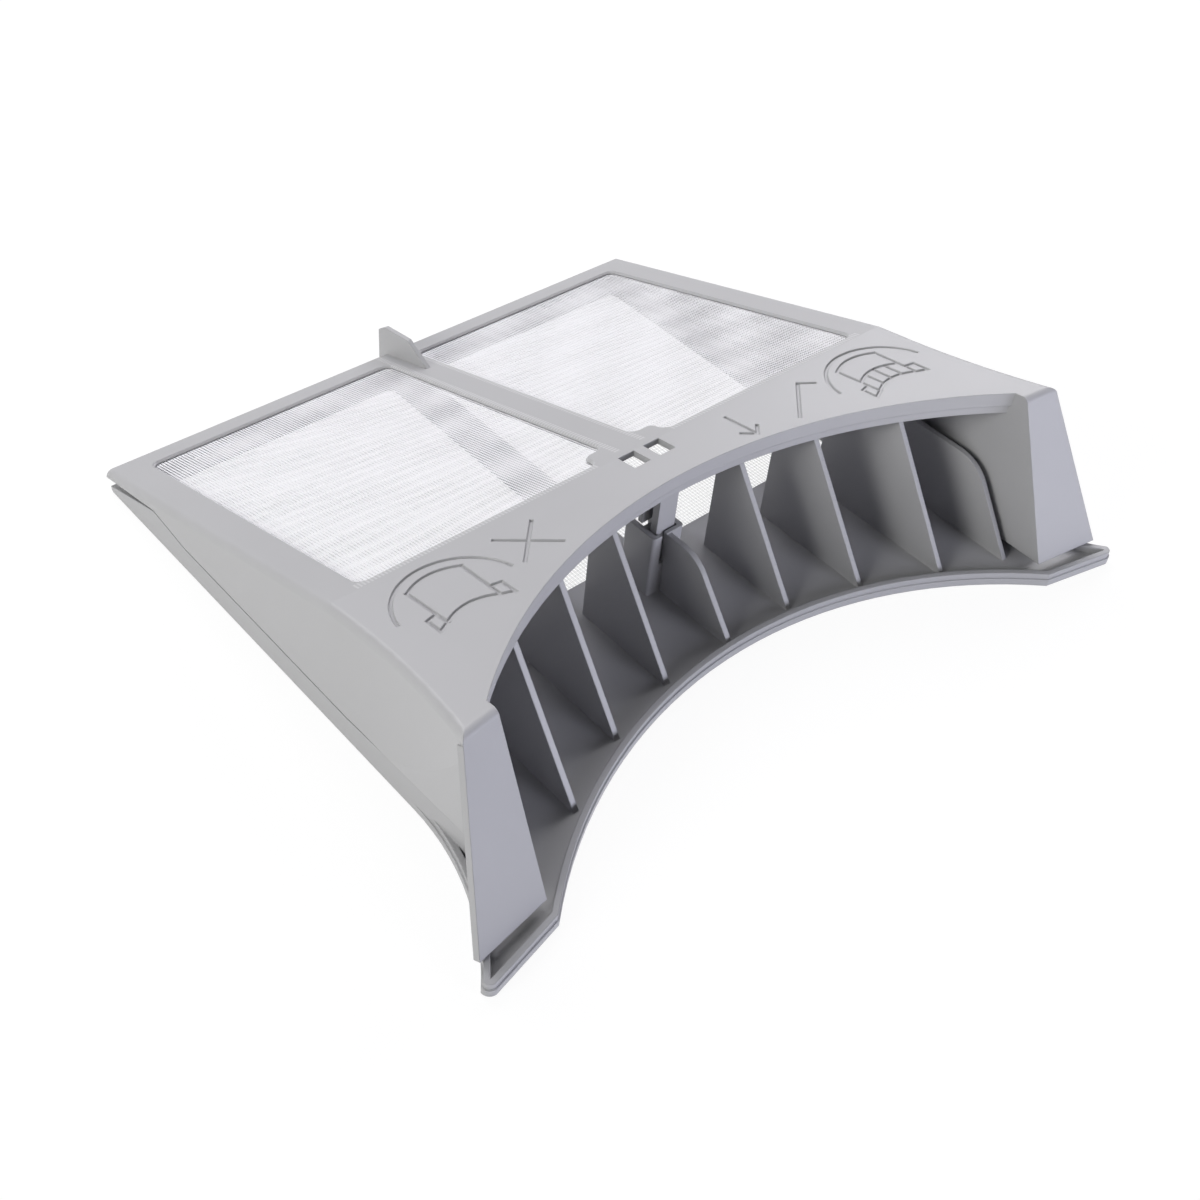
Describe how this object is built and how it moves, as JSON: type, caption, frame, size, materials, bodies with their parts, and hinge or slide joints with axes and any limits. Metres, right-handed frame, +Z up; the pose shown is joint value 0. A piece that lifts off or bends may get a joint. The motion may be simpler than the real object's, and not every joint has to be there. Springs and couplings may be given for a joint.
{
  "type": "tumble dryer lint filter",
  "caption": "Wedge-shaped lint filter of two hinged grey plastic shells with white mesh panels and a curved mouth with guide vanes.",
  "frame": {"origin": "middle of the width and depth, on the flat underside of the back shell", "axes": "+X along the hinge, +Y from the mouth to the narrow hinged edge, +Z up through the front panel"},
  "size_m": [0.28, 0.242, 0.0623],
  "materials": {
    "front_plastic": "fine matte moulded grain",
    "back_plastic": "fine matte moulded grain",
    "mesh": "fine white nylon mesh"
  },
  "bodies": {
    "back_half": {"back_shell": "back_plastic", "back_mesh_left": "mesh", "back_mesh_right": "mesh"},
    "front_half": {"front_shell": "front_plastic", "front_mesh_left": "mesh", "front_mesh_right": "mesh"}
  },
  "joints": [
    {"name": "front_hinge", "type": "hinge", "parent": "back_half", "child": "front_half", "pos_m": [0, 0.1125, 0.003], "axis": [-1, 0, 0], "range_deg": [0, 100]}
  ]
}
